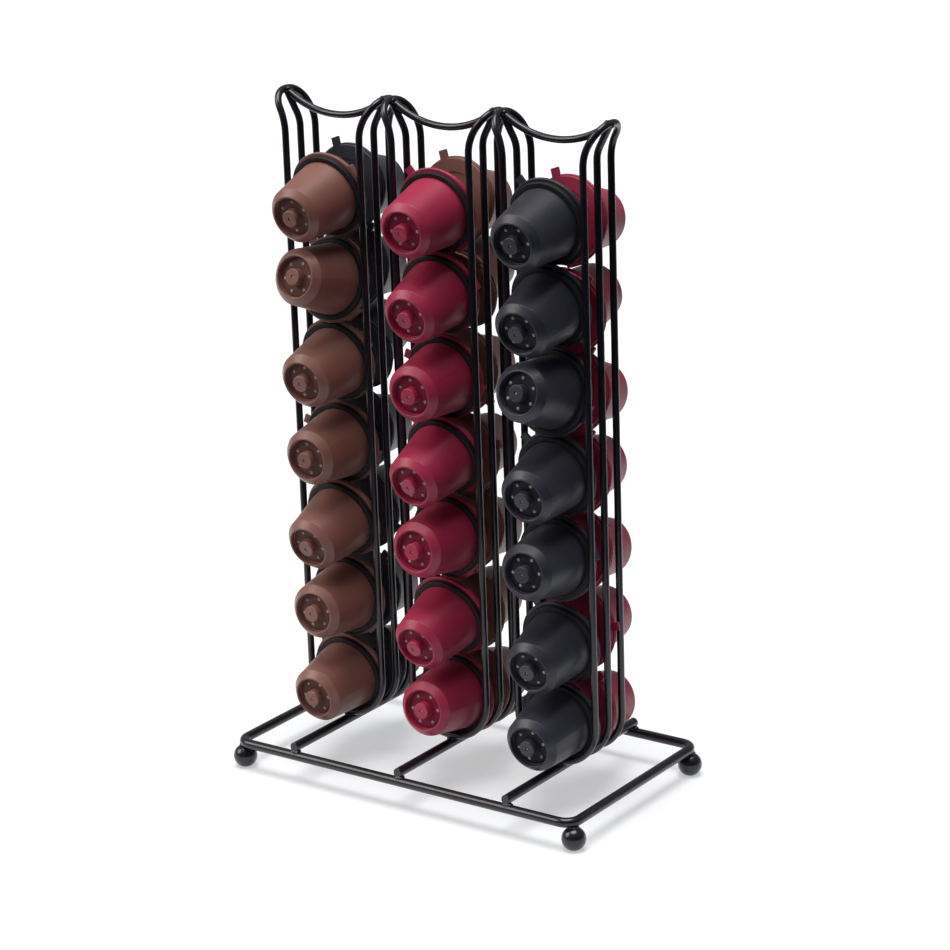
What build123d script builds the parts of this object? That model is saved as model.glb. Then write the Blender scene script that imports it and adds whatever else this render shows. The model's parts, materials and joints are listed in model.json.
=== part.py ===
from build123d import *
from math import cos, hypot, radians, sin
import os

# A two-sided wire rack for small espresso capsules: three columns, each with a channel at the front and one
# at the back. Millimetres, +Z up, +X along the rack, front at -Y, origin on the floor under the middle.

# Base: a ring on ball feet, with a cross bar under each column
base_wire = 4.2
bar_wire = 4.2
ring_width = 96.4
ring_end_margin = 12.3
ring_corner = 6.0
bar_overhang = 1.2
foot_diameter = 10.3
foot_flat_depth = 0.4
foot_turn = 30.0
weld_gap = 0.04
cut_end_round = 0.4

# Guide wires: the flange rides between two of them, which reach in over its edge
column_names = ["left", "middle", "right"]
capsule_count = 7
guide_wire = 3.0
flange_catch = 0.8
channel_play = 4.6
column_gap = 16.6
guide_foot_flat = 2.0
headroom = 14.2
hoop_rise = 11.2
hoop_crown = 8.2
hoop_knee_bend = 19.0
hoop_top_bend = 8.7
middle_rise = 12.4
middle_bend = 12.0
middle_tuck = 0.2
arch_sag = 8.8

# Capsule cup: a flange, a long taper to a crease, a short taper to the end face and its filter recess
flange_diameter = 37.0
flange_thickness = 1.4
flange_lip = 3.1
cup_taper = 3.4
cup_crease_length = 23.4
end_taper = 2.7
end_length = 2.8
cup_wall = 1.2
face_rim = 0.7
recess_depth = 2.2
nub_diameter = 7.0
nub_proud = 1.5
dimple_diameter = 1.4
dimple_depth = 0.6
filter_hole_count = 6
filter_hole_share = 0.549
filter_hole_diameter = 1.5
edge_round = 0.45

# Seal ring in front of the flange, and the lid behind it
seal_height = 1.9
seal_width = 2.1
seal_clearance = 0.05
lid_thickness = 1.2
lid_step = 0.7
lid_plug_length = 1.6
lid_plug_wall = 1.2
lid_clearance = 0.06
lid_recess_diameter = 24.0
lid_recess_depth = 0.4
lid_hole_count = 10
lid_hole_circle = 15.0
lid_hole_diameter = 1.2
tab_width = 3.6
tab_reach = 3.0
tab_angle = 128.0
hinge_width = 8.0
hinge_reach = 0.5
back_top_turn = 58.0
cut_through = 1.0

# Clearances of the capsules on the cross bar, on each other, and of the loose top one
rest_clearance = 0.35
stack_clearance = 0.2
top_clearance = 0.42

# How the capsules lie, from the bottom up: droop of the nub end and yaw in degrees, the distance of the flange
# in front of the middle of its channel as a share of the play there, and the turn about the capsule's own axis
lie = {
    "left_front": [
        (7.0, 0.0, 0.35, 0.0),
        (0.5, 1.5, -0.02, 7.0),
        (14.5, 0.0, 0.28, -10.0),
        (2.0, 2.0, -0.07, 32.0),
        (8.0, 1.5, 0.02, 87.0),
        (-14.5, 0.0, 0.26, 5.0),
        (10.0, 1.0, 0.28, 87.0),
    ],
    "middle_front": [
        (-3.0, 2.5, -0.26, 0.0),
        (14.5, 0.0, 0.26, -10.0),
        (-2.0, 1.5, 0.02, -8.0),
        (14.5, 0.5, 0.24, 5.0),
        (3.5, 2.5, -0.2, 32.0),
        (11.5, 2.5, 0.04, 74.0),
        (7.5, 2.5, 0.11, 0.0),
    ],
    "right_front": [
        (7.0, 2.5, 0.17, 12.0),
        (9.5, 2.5, -0.09, -6.0),
        (-3.0, 2.5, 0.17, 70.0),
        (8.0, 2.5, -0.11, 8.0),
        (-13.5, 1.5, 0.2, 30.0),
        (12.5, 2.5, 0.13, -12.0),
        (8.5, 0.5, 0.2, 0.0),
    ],
    "right_back": [
        (7.0, -2.5, 0.2, -5.0),
        (3.0, 1.5, 0.3, 40.0),
        (12.0, -2.5, 0.15, 10.0),
        (6.5, 2.5, 0.07, -12.0),
        (14.0, 0.0, 0.26, -15.0),
        (-6.0, 2.0, -0.24, 0.0),
        (10.0, -0.5, 0.3, 0.0),
    ],
}
lie["left_back"] = lie["right_front"]
lie["middle_back"] = lie["left_front"]

# Sizes that follow from the ones above
base_radius = base_wire / 2
bar_radius = bar_wire / 2
guide_radius = guide_wire / 2
foot_radius = foot_diameter / 2
flange_radius = flange_diameter / 2
leg_half = flange_radius - flange_catch + guide_radius
guide_depth = flange_thickness + lid_thickness + channel_play + guide_wire
column_pitch = 2 * leg_half + column_gap
column_x = [column_pitch * (i - (len(column_names) - 1) / 2) for i in range(len(column_names))]
ring_length = column_x[-1] - column_x[0] + 2 * (leg_half + ring_end_margin)
hoop_half = leg_half + (column_gap - guide_wire - weld_gap) / 2
foot_z = foot_radius - foot_flat_depth
ring_z = foot_z + foot_radius + weld_gap + base_radius
bar_z = ring_z + base_radius + weld_gap + bar_radius
bar_top = bar_z + bar_radius
guide_z = bar_top + weld_gap + guide_radius
hoop_z = bar_top + capsule_count * flange_diameter + headroom
cup_root_radius = flange_radius - flange_lip
cup_crease_radius = cup_root_radius - cup_taper
cup_face_radius = cup_crease_radius - end_taper
crease_at = flange_thickness + cup_crease_length
face_at = crease_at + end_length
nub_at = face_at + nub_proud
recess_at = face_at - recess_depth
recess_radius = cup_face_radius - face_rim
filter_hole_circle = nub_diameter + filter_hole_share * (2 * recess_radius - nub_diameter)
cavity_at = recess_at - cup_wall
seal_front = flange_thickness + seal_clearance + seal_width
seal_radius = cup_root_radius + seal_height
lid_radius = flange_radius - lid_step
lid_back = lid_clearance + lid_thickness

parts = {}


# Wires: each is a round section swept along straight runs and tangent bends
def bent_wire(path, diameter):
    start = Plane(origin=path @ 0, z_dir=path % 0)
    return sweep(start * Circle(diameter / 2), path=path)


def with_round_ends(wire):
    return fillet([edge for edge in wire.edges() if edge.is_closed], cut_end_round)


def base_ring():
    x = ring_length / 2
    y = ring_width / 2
    corners = [(-x, -y, ring_z), (x, -y, ring_z), (x, y, ring_z), (-x, y, ring_z)]
    return bent_wire(FilletPolyline(*corners, radius=ring_corner, close=True), base_wire)


def ball_foot(x_side, y_side):
    x = x_side * (ring_length / 2 - ring_corner * (1 - cos(radians(foot_turn))))
    y = y_side * (ring_width / 2 - ring_corner * (1 - sin(radians(foot_turn))))
    return split(Pos(x, y, foot_z) * Sphere(foot_radius), bisect_by=Plane.XY, keep=Keep.TOP)


def cross_bar(x):
    length = ring_width + 2 * bar_overhang
    return Pos(x, 0, bar_z) * Rot(X=90) * with_round_ends(Cylinder(bar_radius, length))


# A front or back guide: a half-round foot, two legs, and the two half hoops that meet the other guide's
def side_guide(x, side):
    y = side * guide_depth
    crown_y = side * hoop_crown
    end_y = side * weld_gap / 2
    knee_z = hoop_z - hoop_rise
    points = [
        (x - hoop_half, end_y, hoop_z),
        (x - hoop_half, crown_y, hoop_z),
        (x - leg_half, y, knee_z),
        (x - leg_half, y, guide_z),
        (x + leg_half, y, guide_z),
        (x + leg_half, y, knee_z),
        (x + hoop_half, crown_y, hoop_z),
        (x + hoop_half, end_y, hoop_z),
    ]
    foot_bend = leg_half - guide_foot_flat / 2
    bends = [hoop_top_bend, hoop_knee_bend, foot_bend, foot_bend, hoop_knee_bend, hoop_top_bend]
    return bent_wire(FilletPolyline(*points, radius=bends), guide_wire)


# The middle guide leans outward at the top, and its ends stop just under the hoops
def middle_lean(x, side):
    knee = Vector(x + side * leg_half, 0, hoop_z - middle_rise)
    crown = Vector(x + side * hoop_half, 0, hoop_z)
    end = crown - (crown - knee).normalized() * (guide_radius + middle_tuck)
    return knee, end


def middle_guide(x):
    left_knee, left_end = middle_lean(x, -1)
    right_knee, right_end = middle_lean(x, 1)
    feet = [(x - leg_half, 0, guide_z), (x + leg_half, 0, guide_z)]
    points = [left_end, left_knee, *feet, right_knee, right_end]
    foot_bend = leg_half - guide_foot_flat / 2
    bends = [middle_bend, foot_bend, foot_bend, middle_bend]
    return bent_wire(FilletPolyline(*points, radius=bends), guide_wire)


# A top arch sags between the hoops, and its ends are cut flat along the leaning middle guide
def top_arch(x):
    left = (x - hoop_half, 0, hoop_z)
    right = (x + hoop_half, 0, hoop_z)
    arch = bent_wire(ThreePointArc(left, (x, 0, hoop_z - arch_sag), right), guide_wire)
    for side in (-1, 1):
        knee, end = middle_lean(x, side)
        inward = Vector(0, side, 0).cross(knee - end).normalized()
        cut = Plane(origin=end + inward * (guide_radius + weld_gap), z_dir=inward)
        arch = split(arch, bisect_by=cut, keep=Keep.TOP)
    return arch


# Capsule pieces, made about the Y axis with the nub end at -Y and the flange's back face at Y = 0.
# A profile is a list of (radius, distance forward of that face).
def turned(profile, rounded=()):
    face = make_face(Polyline(*[(r, -forward) for r, forward in profile], close=True))
    spots = [Vector(profile[i][0], -profile[i][1]) for i in rounded]
    corners = [v for v in face.vertices() if any((Vector(*v) - s).length < 1e-4 for s in spots)]
    if corners:
        face = fillet(corners, edge_round)
    return revolve(face, axis=Axis.Y)


def hole_ring(count, circle_radius, diameter, first, last):
    hole = Pos(circle_radius, -(first + last) / 2, 0) * Rot(X=90) * Cylinder(diameter / 2, abs(last - first))
    return [Rot(Y=360 * i / count) * hole for i in range(count)]


def capsule_cup():
    profile = [
        (0, cavity_at),
        (cup_crease_radius - cup_wall, cavity_at),
        (cup_root_radius - cup_wall, 0),
        (flange_radius, 0),
        (flange_radius, flange_thickness),
        (cup_root_radius, flange_thickness),
        (cup_crease_radius, crease_at),
        (cup_face_radius, face_at),
        (recess_radius, face_at),
        (recess_radius, recess_at),
        (nub_diameter / 2, recess_at),
        (nub_diameter / 2, nub_at),
        (0, nub_at),
    ]
    cup = turned(profile, rounded=(3, 4, 7, 8, 11))
    last = recess_at + cut_through
    first = cavity_at - cut_through
    cup -= hole_ring(filter_hole_count, filter_hole_circle / 2, filter_hole_diameter, first, last)
    strap_inside = lid_radius + lid_clearance
    strap_outside = flange_radius + hinge_reach
    strap = Box(strap_outside - strap_inside, flange_thickness + lid_back, hinge_width)
    strap = fillet(strap.edges().filter_by(Axis.Y).sort_by(Axis.X)[-2:], edge_round)
    strap = Pos((strap_inside + strap_outside) / 2, (lid_back - flange_thickness) / 2, 0) * strap
    cup += Rot(Y=180 - tab_angle) * strap
    dimple = Rot(X=90) * Cylinder(dimple_diameter / 2, 2 * dimple_depth)
    return cup - Pos(0, -nub_at, 0) * dimple


def capsule_seal():
    inner = cup_root_radius + seal_clearance
    back = flange_thickness + seal_clearance
    profile = [(inner, back), (seal_radius, back), (seal_radius, seal_front), (inner, seal_front)]
    return turned(profile, rounded=(1, 2))


def capsule_lid():
    plug_radius = cup_root_radius - cup_wall - cup_taper * lid_plug_length / cup_crease_length - lid_clearance
    profile = [
        (0, -lid_clearance),
        (plug_radius - lid_plug_wall, -lid_clearance),
        (plug_radius - lid_plug_wall, lid_plug_length),
        (plug_radius, lid_plug_length),
        (plug_radius, -lid_clearance),
        (lid_radius, -lid_clearance),
        (lid_radius, -lid_back),
        (lid_recess_diameter / 2, -lid_back),
        (lid_recess_diameter / 2, lid_recess_depth - lid_back),
        (0, lid_recess_depth - lid_back),
    ]
    lid = turned(profile, rounded=(6,))
    tab_length = flange_radius + tab_reach - lid_recess_diameter / 2
    tab_middle = lid_recess_diameter / 2 + tab_length / 2
    tab = Pos(tab_middle, lid_clearance + lid_thickness / 2, 0) * Box(tab_length, lid_thickness, tab_width)
    lid += Rot(Y=-tab_angle) * tab
    last = -lid_back - cut_through
    return lid - hole_ring(lid_hole_count, lid_hole_circle / 2, lid_hole_diameter, cut_through, last)


# Stacking: in the column's middle plane each capsule drops on to the one below until a clearance is left
half_outline = [
    (-lid_back, lid_radius),
    (0, lid_radius),
    (0, flange_radius),
    (flange_thickness, flange_radius),
    (flange_thickness, seal_radius),
    (seal_front, seal_radius),
    (seal_front, cup_root_radius),
    (crease_at, cup_crease_radius),
    (face_at, cup_face_radius),
    (nub_at, nub_diameter / 2),
]


def outline(droop, forward, height):
    c = cos(radians(droop))
    s = sin(radians(droop))
    lower = [(f, -r) for f, r in reversed(half_outline)]
    return [(f * c + r * s + forward, r * c - f * s + height) for f, r in half_outline + lower]


def point_to_edge(p, a, b):
    dx = b[0] - a[0]
    dy = b[1] - a[1]
    t = ((p[0] - a[0]) * dx + (p[1] - a[1]) * dy) / (dx * dx + dy * dy)
    t = min(1, max(0, t))
    return hypot(p[0] - a[0] - t * dx, p[1] - a[1] - t * dy)


def turn_of(a, b, c):
    return (b[0] - a[0]) * (c[1] - a[1]) - (b[1] - a[1]) * (c[0] - a[0])


def edges_cross(a, b, c, d):
    return turn_of(a, b, c) * turn_of(a, b, d) < 0 and turn_of(c, d, a) * turn_of(c, d, b) < 0


def outline_gap(first, second):
    first_edges = list(zip(first, first[1:] + first[:1]))
    second_edges = list(zip(second, second[1:] + second[:1]))
    if any(edges_cross(a, b, c, d) for a, b in first_edges for c, d in second_edges):
        return 0
    near = min(point_to_edge(p, c, d) for p in first for c, d in second_edges)
    return min(near, min(point_to_edge(p, a, b) for p in second for a, b in first_edges))


def stacked_heights(poses):
    droop, _, forward, _ = poses[0]
    heights = [bar_top + rest_clearance - min(z for _, z in outline(droop, forward, 0))]
    for i in range(1, len(poses)):
        clearance = top_clearance if i == len(poses) - 1 else stack_clearance
        below = outline(poses[i - 1][0], poses[i - 1][2], heights[-1])
        high = heights[-1] + flange_diameter + clearance
        low = high - flange_radius / 2
        for _ in range(14):
            middle = (low + high) / 2
            if outline_gap(below, outline(poses[i][0], poses[i][2], middle)) >= clearance:
                high = middle
            else:
                low = middle
        heights.append(high)
    return heights


# Places of a channel's capsules: a back channel is a front one turned half round
def capsule_places(x, channel):
    poses = [(droop, yaw, share * channel_play, turn) for droop, yaw, share, turn in lie[channel]]
    back = channel.endswith("back")
    if back:
        poses[-1] = poses[-1][:3] + (-back_top_turn,)
    side = Pos(x, 0, 0) * Rot(Z=180 if back else 0)
    places = []
    for (droop, yaw, forward, turn), height in zip(poses, stacked_heights(poses)):
        place = side * Pos(0, -guide_depth / 2 - forward, height) * Rot(Z=yaw) * Rot(X=droop)
        places.append(place * Rot(Y=-turn))
    return places


# Rack
parts["base_ring"] = base_ring()
for x_name, x_side in (("left", -1), ("right", 1)):
    for y_name, y_side in (("front", -1), ("back", 1)):
        parts[f"{x_name}_{y_name}_foot"] = ball_foot(x_side, y_side)
for name, x in zip(column_names, column_x):
    parts[f"{name}_cross_bar"] = cross_bar(x)
    parts[f"{name}_front_guide"] = side_guide(x, -1)
    parts[f"{name}_middle_guide"] = middle_guide(x)
    parts[f"{name}_back_guide"] = side_guide(x, 1)
    parts[f"{name}_top_arch"] = top_arch(x)

# Capsules: in each channel the top one is loose by itself, and the six below it are one stack
pieces = {"cup": capsule_cup(), "seal": capsule_seal(), "lid": capsule_lid()}
for name, x in zip(column_names, column_x):
    for side in ("front", "back"):
        channel = f"{name}_{side}"
        places = capsule_places(x, channel)
        for piece, solid in pieces.items():
            stack = [place * solid for place in places[:-1]]
            parts[f"{channel}_stack_{piece}s"] = Compound(children=[shape.solid() for shape in stack])
            parts[f"{channel}_top_{piece}"] = places[-1] * solid

os.makedirs("parts", exist_ok=True)
for name, shape in parts.items():
    export_step(shape, f"parts/{name}.step")
print(f"{len(parts)} parts, hoops {2 * (column_x[-1] + hoop_half) + guide_wire:.1f} mm across, "
      f"ring {ring_length + base_wire:.1f} x {ring_width + base_wire:.1f} mm, "
      f"top at {hoop_z + guide_radius:.1f} mm")
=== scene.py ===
# %% [markdown]
# # A two-sided wire rack full of coffee capsules
#
# The rack is black coated wire: a ring on four ball feet, three cross bars, and over each bar three bent
# guide wires that hold one row of capsules at the front and one at the back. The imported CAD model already
# has every wire and every capsule in its true place, so this lesson keeps those meshes and gives them their
# finish. It adds what a CAD model leaves out: the welds, the gauze in the filter holes, the studio, and the
# view of the photograph.

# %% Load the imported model
import json
import math
import bmesh
import bpy
import numpy
from mathutils import Matrix, Quaternion, Vector, noise

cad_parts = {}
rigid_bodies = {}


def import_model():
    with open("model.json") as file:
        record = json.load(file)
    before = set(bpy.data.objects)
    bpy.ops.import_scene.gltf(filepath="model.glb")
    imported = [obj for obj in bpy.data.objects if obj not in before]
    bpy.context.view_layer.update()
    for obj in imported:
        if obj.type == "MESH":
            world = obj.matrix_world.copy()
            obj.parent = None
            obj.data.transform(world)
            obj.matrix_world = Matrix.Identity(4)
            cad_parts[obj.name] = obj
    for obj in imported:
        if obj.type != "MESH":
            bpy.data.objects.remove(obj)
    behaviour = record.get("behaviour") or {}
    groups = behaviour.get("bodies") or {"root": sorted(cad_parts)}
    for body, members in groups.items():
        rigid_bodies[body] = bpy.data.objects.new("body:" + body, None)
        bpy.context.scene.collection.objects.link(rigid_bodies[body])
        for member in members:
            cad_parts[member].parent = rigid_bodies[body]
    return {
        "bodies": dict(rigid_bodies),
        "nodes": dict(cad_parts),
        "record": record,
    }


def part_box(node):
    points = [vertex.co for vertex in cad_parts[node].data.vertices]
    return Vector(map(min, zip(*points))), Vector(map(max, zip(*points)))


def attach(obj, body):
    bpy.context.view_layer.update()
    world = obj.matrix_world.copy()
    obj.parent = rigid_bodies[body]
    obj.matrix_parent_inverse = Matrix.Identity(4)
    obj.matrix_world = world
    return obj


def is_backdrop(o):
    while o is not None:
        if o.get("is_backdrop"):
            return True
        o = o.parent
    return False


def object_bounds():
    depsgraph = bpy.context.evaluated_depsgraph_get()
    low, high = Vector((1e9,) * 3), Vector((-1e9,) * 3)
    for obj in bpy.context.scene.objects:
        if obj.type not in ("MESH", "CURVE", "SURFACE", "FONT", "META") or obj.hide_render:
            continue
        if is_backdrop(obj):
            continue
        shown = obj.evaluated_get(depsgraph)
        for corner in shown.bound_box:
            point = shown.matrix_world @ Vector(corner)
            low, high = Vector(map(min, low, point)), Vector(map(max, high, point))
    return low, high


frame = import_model()
nodes = frame["nodes"]
cad_low, cad_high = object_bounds()
scene = bpy.context.scene
scene.view_settings.view_transform = "Standard"

# %% [markdown]
# ## The camera
#
# The photograph is taken from the front right and a little above, with a long lens, so the upright wires
# stay nearly parallel. A camera can be aimed with a Track To constraint, but a fixed matrix is plainer
# here: three angles give its axes, and one point gives its place. The small roll is the tilt of the real
# tripod.

# %% Set the camera
view_turn = math.radians(35.63)
view_rise = math.radians(17.81)
view_roll = math.radians(-1.915)
camera_place = Vector((0.7728, -1.0644, 0.5562))
lens_mm = 124.56

backward = Vector((
    math.sin(view_turn) * math.cos(view_rise),
    -math.cos(view_turn) * math.cos(view_rise),
    math.sin(view_rise),
))
level_right = Vector((math.cos(view_turn), math.sin(view_turn), 0))
level_up = backward.cross(level_right)
right = math.cos(view_roll) * level_right + math.sin(view_roll) * level_up
up = math.cos(view_roll) * level_up - math.sin(view_roll) * level_right

camera = bpy.data.objects.new("camera", bpy.data.cameras.new("camera"))
scene.collection.objects.link(camera)
camera.matrix_world = Matrix.Translation(camera_place) @ Matrix((right, up, backward)).transposed().to_4x4()
camera.data.sensor_width = 36
camera.data.lens = lens_mm
camera.data.clip_end = 50
scene.camera = camera
print("camera", [round(v, 3) for v in camera.location], "lens", camera.data.lens)

# %% [markdown]
# ## The studio
#
# The rack stands on a white sweep under a large softbox, which keeps its shadow close below it and draws
# the bright lines on the arches and bends. A weaker, warmer lamp from the upper left lights the capsules'
# fronts. Sun lamps with a wide angle stand for both: unlike area lamps they light the whole floor evenly.
# The world is a plain gradient, pale on the upper left and dark on the lower right. Shiny surfaces mirror a
# second one, pale at the back left, and rays that come straight from the camera see white.

# %% Light the studio
def sun(name, comes_from, width_degrees, strength):
    """A lamp so far away that only its direction counts, and as wide as a softbox looks."""
    lamp = bpy.data.lights.new(name, "SUN")
    lamp.energy = strength
    lamp.angle = math.radians(width_degrees)
    holder = bpy.data.objects.new(name, lamp)
    holder.rotation_mode = "QUATERNION"
    holder.rotation_quaternion = Vector(comes_from).to_track_quat("Z", "Y")
    scene.collection.objects.link(holder)
    return holder


sun("softbox", (0.02, -0.08, 1.0), 40, 2.75)
key_lamp = sun("key_lamp", (-0.62, -0.50, 0.60), 35, 1.5)
key_lamp.data.color = (1.0, 0.95, 0.89)


def link(tree, start, start_socket, end, end_socket):
    tree.links.new(start.outputs[start_socket], end.inputs[end_socket])


def room_light(tree, bright_side, dim, bright):
    """A strength that goes smoothly from dim to bright towards one side of the room."""
    place = tree.nodes.new("ShaderNodeTexCoord")
    towards = tree.nodes.new("ShaderNodeVectorMath")
    towards.operation = "DOT_PRODUCT"
    towards.inputs[1].default_value = Vector(bright_side).normalized()
    link(tree, place, "Generated", towards, 0)
    share = tree.nodes.new("ShaderNodeMapRange")
    share.interpolation_type = "SMOOTHSTEP"
    share.inputs["From Min"].default_value = -1
    share.inputs["To Min"].default_value = dim
    share.inputs["To Max"].default_value = bright
    link(tree, towards, "Value", share, "Value")
    background = tree.nodes.new("ShaderNodeBackground")
    link(tree, share, "Result", background, "Strength")
    return background


room = bpy.data.worlds.new("white_room")
scene.world = room
room.use_nodes = True
tree = room.node_tree
tree.nodes.clear()
fill = room_light(tree, (-0.60, -0.45, 0.66), 0.02, 0.36)
fill.inputs["Color"].default_value = (0.76, 0.84, 1.0, 1)
mirrored = room_light(tree, (-0.45, 0.62, 0.64), 0.0, 0.30)
seen = tree.nodes.new("ShaderNodeBackground")
seen.inputs["Color"].default_value = (1, 1, 1, 1)
ray = tree.nodes.new("ShaderNodeLightPath")
shiny = tree.nodes.new("ShaderNodeMath")
shiny.operation = "MAXIMUM"
link(tree, ray, "Is Glossy Ray", shiny, 0)
link(tree, ray, "Is Transmission Ray", shiny, 1)
by_shine = tree.nodes.new("ShaderNodeMixShader")
link(tree, shiny, "Value", by_shine, "Fac")
link(tree, fill, "Background", by_shine, 1)
link(tree, mirrored, "Background", by_shine, 2)
by_sight = tree.nodes.new("ShaderNodeMixShader")
link(tree, ray, "Is Camera Ray", by_sight, "Fac")
link(tree, by_shine, "Shader", by_sight, 1)
link(tree, seen, "Background", by_sight, 2)
out = tree.nodes.new("ShaderNodeOutputWorld")
link(tree, by_sight, "Shader", out, "Surface")
print("two lamps and a white room, with", len(tree.nodes), "world nodes")

# %% [markdown]
# ## The white sweep
#
# A floor that is only white paper never reaches the pure white of the photograph without too much light on
# the object. So the paper glows a little, but only for rays that the camera or a shiny surface sends. The
# shadow of the rack stays in it, because the rest of its white is light that it receives. The key lamp
# skips the floor, as a lamp with barn doors does, so that only the softbox casts a shadow there. The sheet
# runs far to the left and the back but ends a little in front of the rack, so that the wires mirror a dark
# room on the camera's side.

# %% Lay the floor
sheet_low = Vector((-4.0, -0.30, 0))
sheet_high = Vector((0.30, 4.0, 0))
floor_white = 0.62
floor_glow = 0.46
floor_drop = 0.0001

paper = bpy.data.materials.new("white_paper")
paper.use_nodes = True
tree = paper.node_tree
tree.nodes.clear()
matt = tree.nodes.new("ShaderNodeBsdfDiffuse")
matt.inputs["Color"].default_value = (floor_white, floor_white, floor_white, 1)
glow = tree.nodes.new("ShaderNodeEmission")
ray = tree.nodes.new("ShaderNodeLightPath")
either = tree.nodes.new("ShaderNodeMath")
either.operation = "MAXIMUM"
link(tree, ray, "Is Camera Ray", either, 0)
link(tree, ray, "Is Glossy Ray", either, 1)
any_seen = tree.nodes.new("ShaderNodeMath")
any_seen.operation = "MAXIMUM"
link(tree, either, "Value", any_seen, 0)
link(tree, ray, "Is Transmission Ray", any_seen, 1)
amount = tree.nodes.new("ShaderNodeMath")
amount.operation = "MULTIPLY"
amount.inputs[1].default_value = floor_glow
link(tree, any_seen, "Value", amount, 0)
link(tree, amount, "Value", glow, "Strength")
both = tree.nodes.new("ShaderNodeAddShader")
link(tree, matt, "BSDF", both, 0)
link(tree, glow, "Emission", both, 1)
out = tree.nodes.new("ShaderNodeOutputMaterial")
link(tree, both, "Shader", out, "Surface")

sheet = bpy.data.meshes.new("floor")
corners = [
    (sheet_low.x, sheet_low.y, 0),
    (sheet_high.x, sheet_low.y, 0),
    (sheet_high.x, sheet_high.y, 0),
    (sheet_low.x, sheet_high.y, 0),
]
sheet.from_pydata(corners, [], [(0, 1, 2, 3)])
floor = bpy.data.objects.new("floor", sheet)
floor.location.z = cad_low.z - floor_drop
floor.data.materials.append(paper)
scene.collection.objects.link(floor)
floor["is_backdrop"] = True
barn_doors = bpy.data.collections.new("barn_doors")
barn_doors.objects.link(floor)
barn_doors.collection_objects[0].light_linking.link_state = "EXCLUDE"
key_lamp.light_linking.receiver_collection = barn_doors
print("floor", [round(v, 2) for v in (sheet_high - sheet_low).xy], "m at", round(floor.location.z, 5))

# %% [markdown]
# ## One recipe for the finishes
#
# Every finish here is a skin over a moulded or bent form, so they share a recipe. A broad noise drifts the
# colour, as uneven coating or mould release does, and a fine noise raises a grain and varies the roughness
# with it. The noise reads object coordinates in metres, so a grain of 0.4 mm is 0.4 mm on every piece,
# whatever its shape.

# %% The shared recipe
def grain_noise(tree, place, size_mm, detail):
    """Noise whose blobs are about size_mm across."""
    node = tree.nodes.new("ShaderNodeTexNoise")
    node.inputs["Scale"].default_value = 1000 / size_mm
    node.inputs["Detail"].default_value = detail
    link(tree, place, "Object", node, "Vector")
    return node


def spread(tree, source, low, high):
    """The noise's usual range stretched from low to high."""
    node = tree.nodes.new("ShaderNodeMapRange")
    node.inputs["From Min"].default_value = 0.3
    node.inputs["From Max"].default_value = 0.7
    node.inputs["To Min"].default_value = low
    node.inputs["To Max"].default_value = high
    link(tree, source, "Fac", node, "Value")
    return node


def skin(name, dark, light, rough, drift_mm, grain_mm, grain_depth_mm, edge_mm=0):
    """A finish with a drifting colour and a fine grain. With edge_mm its edges catch the light too."""
    material = bpy.data.materials.new(name)
    material.use_nodes = True
    tree = material.node_tree
    shader = tree.nodes["Principled BSDF"]
    place = tree.nodes.new("ShaderNodeTexCoord")
    drift = grain_noise(tree, place, drift_mm, 4)
    colour = tree.nodes.new("ShaderNodeMix")
    colour.data_type = "RGBA"
    colour.inputs["A"].default_value = (*dark, 1)
    colour.inputs["B"].default_value = (*light, 1)
    link(tree, spread(tree, drift, 0, 1), "Result", colour, "Factor")
    link(tree, colour, "Result", shader, "Base Color")
    grain = grain_noise(tree, place, grain_mm, 3)
    link(tree, spread(tree, grain, *rough), "Result", shader, "Roughness")
    bump = tree.nodes.new("ShaderNodeBump")
    bump.inputs["Distance"].default_value = grain_depth_mm / 1000
    link(tree, grain, "Fac", bump, "Height")
    if edge_mm:
        edge = tree.nodes.new("ShaderNodeBevel")
        edge.inputs["Radius"].default_value = edge_mm / 1000
        link(tree, edge, "Normal", bump, "Normal")
    link(tree, bump, "Normal", shader, "Normal")
    return material, shader


print("recipe ready")

# %% [markdown]
# ## The coated wire
#
# The wire is steel under a satin black coat with a cast of violet. The coat is sprayed as powder and baked,
# which leaves a low orange peel about a millimetre across. A clear coat layer gives the bright, narrow
# lines that run along the bends, over the softer shine of the black itself.

# %% Mix the wire's coat
coated_wire, shader = skin(
    "coated_wire", (0.005, 0.0047, 0.008), (0.010, 0.0095, 0.015), (0.32, 0.44),
    drift_mm=14, grain_mm=1.1, grain_depth_mm=0.02,
)
shader.inputs["Specular IOR Level"].default_value = 0.15
shader.inputs["Coat Weight"].default_value = 0.85
shader.inputs["Coat Roughness"].default_value = 0.2
print(coated_wire.name, len(coated_wire.node_tree.nodes), "nodes")

# %% [markdown]
# ## The capsules' plastic
#
# The capsules are moulded in three colours, brown, wine red and charcoal. The mould is finely etched, so
# the plastic is satin: broad, soft lights on the tapered cups and a paler look at a low angle. The drift in
# the colour is slow, about the size of a capsule, so that neighbours differ a little. A mould leaves no
# edge quite sharp, so a Bevel node rounds the shading of the crease and the rims by a third of a
# millimetre.

# %% Mix the plastics
plastics = {
    "capsule_brown": ((0.200, 0.081, 0.060), (0.246, 0.103, 0.078)),
    "capsule_red": ((0.330, 0.0135, 0.050), (0.398, 0.0210, 0.068)),
    "capsule_black": ((0.021, 0.021, 0.030), (0.029, 0.029, 0.042)),
}
finishes = {"coated_wire": coated_wire}
for slot, (dark, light) in plastics.items():
    finishes[slot], shader = skin(
        slot, dark, light, (0.34, 0.48), drift_mm=30, grain_mm=0.35, grain_depth_mm=0.012, edge_mm=0.35,
    )
    shader.inputs["Sheen Weight"].default_value = 0.10
    shader.inputs["Sheen Roughness"].default_value = 0.4
print(sorted(finishes))

# %% [markdown]
# ## The seal
#
# In front of each flange sits a soft black ring. Rubber has no clear shine, so its roughness is high, and
# its grain is coarser than the plastic's.

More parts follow.
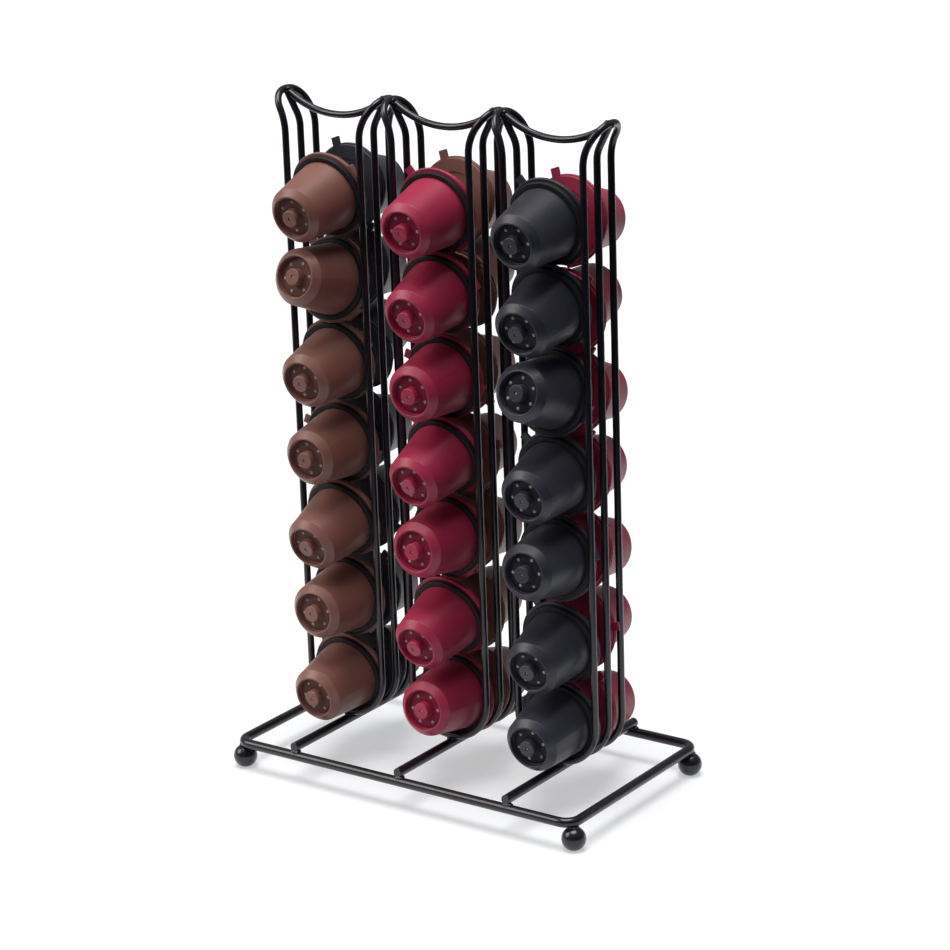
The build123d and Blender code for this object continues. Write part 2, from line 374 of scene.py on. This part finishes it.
# %% Mix the rubber
finishes["seal"], shader = skin(
    "seal", (0.007, 0.007, 0.009), (0.013, 0.013, 0.016), (0.52, 0.68),
    drift_mm=12, grain_mm=0.5, grain_depth_mm=0.02,
)
shader.inputs["Specular IOR Level"].default_value = 0.35
print(len(finishes), "finishes")

# %% [markdown]
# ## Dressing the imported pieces
#
# The record says which finish each CAD piece takes, so one loop dresses them all. The meshes stay as they
# are.

# %% Dress the CAD pieces
for part in frame["record"]["subparts"]:
    piece = nodes[part["node"]]
    piece.data.materials.clear()
    piece.data.materials.append(finishes[part["material_slot"]])

# %% [markdown]
# ## Welds
#
# The wires are spot welded where they touch, and the coat runs over the little collars of squeezed metal. A
# weld is a lump with no clean shape, so each starts as a fine ball, is pressed to its size, and is then
# roughened by noise with its own seed. They sit on the points where the CAD wires touch.

# %% Make a weld
weld_roughness = 0.16
coarse_lumps = 1.6
fine_lumps = 3.7


def weld(name, place, half_size, seed):
    """A lumpy bead, half_size along X, Y and Z, on the rack."""
    shape = bmesh.new()
    bmesh.ops.create_icosphere(shape, subdivisions=4, radius=1)
    drift = Vector((seed * 3.7, seed * 1.9, seed * 5.3))
    for point in shape.verts:
        lump = noise.noise(point.co * coarse_lumps + drift) + 0.5 * noise.noise(point.co * fine_lumps + drift)
        swelled = point.co * (1 + weld_roughness * lump)
        point.co = Vector(s * h for s, h in zip(swelled, half_size))
    mesh = bpy.data.meshes.new(name)
    shape.to_mesh(mesh)
    shape.free()
    mesh.shade_smooth()
    mesh.materials.append(coated_wire)
    piece = bpy.data.objects.new(name, mesh)
    piece.location = place
    scene.collection.objects.link(piece)
    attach(piece, "rack")
    return piece


columns = ("left", "middle", "right")
ring_low, ring_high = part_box("base_ring")
rail_radius = (ring_high.z - ring_low.z) / 2
print("rails", round(2000 * rail_radius, 2), "mm thick")

# %% [markdown]
# The collars under the bars are thin lenses between the crossing wires, and the ball feet and the lower ends
# of the guides have the same. Their half sizes are written in millimetres, and mm turns them into metres.

# %% Weld the base
mm = 0.001
wire_radius = 1.5 * mm
bar_collar = Vector((2.7, 1.9, 1.0)) * mm
foot_collar = Vector((2.3, 2.3, 0.7)) * mm
guide_collar = Vector((1.8, 1.7, 0.7)) * mm
rails = {"front": ring_low.y + rail_radius, "back": ring_high.y - rail_radius}
welds = []
for column in columns:
    low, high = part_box(f"{column}_cross_bar")
    middle_x = (low.x + high.x) / 2
    for side, y in rails.items():
        place = Vector((middle_x, y, ring_high.z))
        welds.append(weld(f"{column}_{side}_bar_weld", place, bar_collar, len(welds)))
    for guide in ("front", "middle", "back"):
        wire_low, wire_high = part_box(f"{column}_{guide}_guide")
        leg_y = {"front": wire_low.y + wire_radius, "middle": 0.0, "back": wire_high.y - wire_radius}[guide]
        place = Vector((middle_x, leg_y, high.z))
        welds.append(weld(f"{column}_{guide}_guide_weld", place, guide_collar, len(welds)))
for x_side in ("left", "right"):
    for y_side in ("front", "back"):
        low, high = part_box(f"{x_side}_{y_side}_foot")
        place = Vector(((low.x + high.x) / 2, (low.y + high.y) / 2, ring_low.z))
        welds.append(weld(f"{x_side}_{y_side}_foot_weld", place, foot_collar, len(welds)))
print(len(welds), "welds in the base")

# %% [markdown]
# At the top each hoop closes over the leaning end of the middle guide, the arch butts into that corner, and
# two neighbouring hoops lie side by side. The welds there fill the seams.

# %% Weld the hoops
hoop_wrap = Vector((1.7, 2.4, 1.75)) * mm
hoop_bridge = Vector((1.7, 2.7, 0.9)) * mm
arch_fill = Vector((1.3, 1.75, 1.5)) * mm
wrap_drop = 0.4 * mm
bridge_rise = 0.5 * mm
fill_inward = 1.5 * mm
fill_drop = 0.3 * mm
hoops = []
for column in columns:
    low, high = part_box(f"{column}_front_guide")
    hoop_z = high.z - wire_radius
    for side, x, inward in (("left", low.x + wire_radius, 1), ("right", high.x - wire_radius, -1)):
        hoops.append(x)
        place = Vector((x, 0, hoop_z - wrap_drop))
        welds.append(weld(f"{column}_{side}_hoop_weld", place, hoop_wrap, len(welds)))
        place = Vector((x + inward * fill_inward, 0, hoop_z - fill_drop))
        welds.append(weld(f"{column}_{side}_arch_weld", place, arch_fill, len(welds)))
hoops.sort()
for name, first in (("left", 1), ("right", 3)):
    place = Vector(((hoops[first] + hoops[first + 1]) / 2, 0, hoop_z + bridge_rise))
    welds.append(weld(f"{name}_hoop_bridge", place, hoop_bridge, len(welds)))
print(len(welds), "welds in all, hoops at", [round(x, 4) for x in hoops])

# %% [markdown]
# ## The gauze in the filter holes
#
# The filter end of a capsule has six small holes round the nub and one in it, and pale gauze shows in each
# as a bright dot. The dots are far too small for a texture that follows them, so each is a low dome of its
# own, and the ones of a body are one mesh. First the capsules have to be found: a seal is a flat ring round
# its capsule's axis, so the direction in which its points spread least is that axis, and the lid's tab
# shows how far the capsule is turned.

# %% Find the capsules
def islands(mesh):
    """The points of each separate solid in a mesh, whose faces may not share their corners."""
    points = numpy.empty(3 * len(mesh.vertices))
    mesh.vertices.foreach_get("co", points)
    edges = numpy.empty(2 * len(mesh.edges), dtype=int)
    mesh.edges.foreach_get("vertices", edges)
    spots, same = numpy.unique(points.reshape(-1, 3).round(6), axis=0, return_inverse=True)
    first, second = same.ravel()[edges].reshape(-1, 2).T
    group = numpy.arange(len(spots))
    settled = False
    while not settled:
        lower = numpy.minimum(group[first], group[second])
        joined = group.copy()
        numpy.minimum.at(joined, first, lower)
        numpy.minimum.at(joined, second, lower)
        joined = joined[joined]
        settled = (joined == group).all()
        group = joined
    return [spots[group == number] for number in numpy.unique(group)]


def capsule_axes(body, side):
    """For each capsule of a body: its seal's middle, the direction of its nub, and that of its lid's tab."""
    ending = "s" if body.endswith("stack") else ""
    lids = islands(nodes[f"{body}_lid{ending}"].data)
    axes = []
    for ring in islands(nodes[f"{body}_seal{ending}"].data):
        middle = (ring.max(axis=0) + ring.min(axis=0)) / 2
        spread_least = numpy.linalg.eigh(numpy.cov((ring - ring.mean(axis=0)).T))[1][:, 0]
        ahead = Vector(spread_least * numpy.sign(spread_least[1] * side))
        lid = min(lids, key=lambda points: numpy.linalg.norm(points.mean(axis=0) - middle))
        across = lid - middle - numpy.outer((lid - middle) @ numpy.array(ahead), ahead)
        tab = Vector(across[numpy.linalg.norm(across, axis=1).argmax()]).normalized()
        axes.append((Vector(middle), ahead, tab))
    return axes


capsules = {}
for body in frame["bodies"]:
    if body != "rack":
        capsules[body] = capsule_axes(body, -1 if "front" in body else 1)

# %% [markdown]
# The gauze is a fine pale mesh that doesn't lie flat. Two crossed waves with bands 1.6 mm apart, about the
# size of a dot, raise its weave and paint some dots lighter and others darker: painted light for the dots
# that catch
# more light than others. Round the nub a ring of film in a deeper tone of each plastic lies on the recess
# floor:
# painted shade in the recess, and partly the dark inside that shows through the thin plastic.

# %% Mix the gauze and the film of painted shade
gauze_wave_scale = 200
# This factor darkens each plastic's colour for the film: painted shade on the recess floor.
recess_shade_tone = 0.58

gauze = bpy.data.materials.new("filter_gauze")
gauze.use_nodes = True
tree = gauze.node_tree
shader = tree.nodes["Principled BSDF"]
place = tree.nodes.new("ShaderNodeTexCoord")
waves = []
for direction in ("X", "Z"):
    wave = tree.nodes.new("ShaderNodeTexWave")
    wave.bands_direction = direction
    wave.inputs["Scale"].default_value = gauze_wave_scale
    link(tree, place, "Object", wave, "Vector")
    waves.append(wave)
weave_and_painted_light = tree.nodes.new("ShaderNodeMath")
weave_and_painted_light.operation = "MAXIMUM"
link(tree, waves[0], "Fac", weave_and_painted_light, 0)
link(tree, waves[1], "Fac", weave_and_painted_light, 1)
# The two tones are painted light: the lighter dots stand for those that catch more light, the darker for
# those that catch less.
tone = tree.nodes.new("ShaderNodeMix")
tone.data_type = "RGBA"
tone.inputs["A"].default_value = (0.17, 0.165, 0.16, 1)
tone.inputs["B"].default_value = (0.38, 0.37, 0.35, 1)
link(tree, weave_and_painted_light, "Value", tone, "Factor")
link(tree, tone, "Result", shader, "Base Color")
shader.inputs["Roughness"].default_value = 0.45
bump = tree.nodes.new("ShaderNodeBump")
bump.inputs["Distance"].default_value = 0.04 * mm
link(tree, weave_and_painted_light, "Value", bump, "Height")
link(tree, bump, "Normal", shader, "Normal")

# One film material per plastic, its colour darkened as painted shade for the recess.
shade_films = {}
for slot, tones in plastics.items():
    dark, light = [[recess_shade_tone * channel for channel in tone] for tone in tones]
    shade_films[slot], shader = skin(
        f"{slot}_film", dark, light, (0.50, 0.62), drift_mm=3, grain_mm=0.3, grain_depth_mm=0.01,
    )
    shader.inputs["Specular IOR Level"].default_value = 0.2
print(gauze.name, "and", sorted(shade_film.name for shade_film in shade_films.values()))

# %% [markdown]
# Both are placed from the middle of the seal, along the capsule's axis. The film of painted shade lies on the
# floor of the recess, and the dots stand a little out of it. The first hole is a fixed turn away from the
# lid's tab.

# %% Set the gauze in the holes
gauze_ahead = 22.90 * mm
nub_gauze_ahead = 26.2 * mm
hole_circle = 6.3 * mm
hole_count = 6
tab_to_hole = math.radians(128)
dot = Vector((0.72, 0.72, 0.2)) * mm
nub_dot = Vector((0.45, 0.45, 0.15)) * mm
film_ahead = 22.96 * mm
film_edge = [(3.55 * mm, -0.1 * mm), (3.75 * mm, 0), (8.2 * mm, 0), (8.4 * mm, -0.1 * mm)]
film_corners = 48
slots = {part["node"]: part["material_slot"] for part in frame["record"]["subparts"]}


def add_shade_film(shape, place, ahead):
    """A flat ring of painted shade round the nub with its two edges turned down. Its faces take the second
    material, a darker copy of the plastic.
    """
    turn = Matrix.Translation(place) @ ahead.to_track_quat("Z", "Y").to_matrix().to_4x4()
    angles = [2 * math.pi * i / film_corners for i in range(film_corners)]
    circles = []
    for radius, lift in film_edge:
        points = [Vector((radius * math.cos(a), radius * math.sin(a), lift)) for a in angles]
        circles.append([shape.verts.new(turn @ point) for point in points])
    for inner, outer in zip(circles, circles[1:]):
        for i in range(film_corners):
            face = shape.faces.new((inner[i - 1], outer[i - 1], outer[i], inner[i]))
            face.material_index = 1


def add_dome(shape, place, ahead, half_size):
    """A fine ball pressed flat along the axis. Its lower half is sunk in the plastic."""
    turn = ahead.to_track_quat("Z", "Y").to_matrix().to_4x4()
    press = Matrix.Diagonal((*half_size, 1))
    set_down = Matrix.Translation(place) @ turn @ press
    bmesh.ops.create_icosphere(shape, subdivisions=3, radius=1, matrix=set_down)


for body, axes in capsules.items():
    shape = bmesh.new()
    for middle, ahead, tab in axes:
        add_shade_film(shape, middle + ahead * film_ahead, ahead)
        first = Quaternion(-ahead, tab_to_hole) @ tab
        for i in range(hole_count):
            across = Quaternion(ahead, math.radians(360 / hole_count * i)) @ first
            add_dome(shape, middle + ahead * gauze_ahead + across * hole_circle, ahead, dot)
        add_dome(shape, middle + ahead * nub_gauze_ahead, ahead, nub_dot)
    mesh = bpy.data.meshes.new(f"{body}_gauze")
    shape.to_mesh(mesh)
    shape.free()
    mesh.shade_smooth()
    mesh.materials.append(gauze)
    cups = f"{body}_cups" if body.endswith("stack") else f"{body}_cup"
    mesh.materials.append(shade_films[slots[cups]])
    piece = bpy.data.objects.new(f"{body}_gauze", mesh)
    scene.collection.objects.link(piece)
    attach(piece, body)
dots = (hole_count + 1) * sum(len(axes) for axes in capsules.values())
print("gauze on", len(capsules), "bodies,", dots, "dots")

# %% [markdown]
# ## Measuring
#
# Both the CAD model's box and the dressed model's box are measured and printed before the script ends.
# The dressed model has to stay in the CAD model's box.

# %% Measure and finish
low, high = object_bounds()
print("CAD box", [round(v, 5) for v in cad_high - cad_low], "dressed", [round(v, 5) for v in high - low])
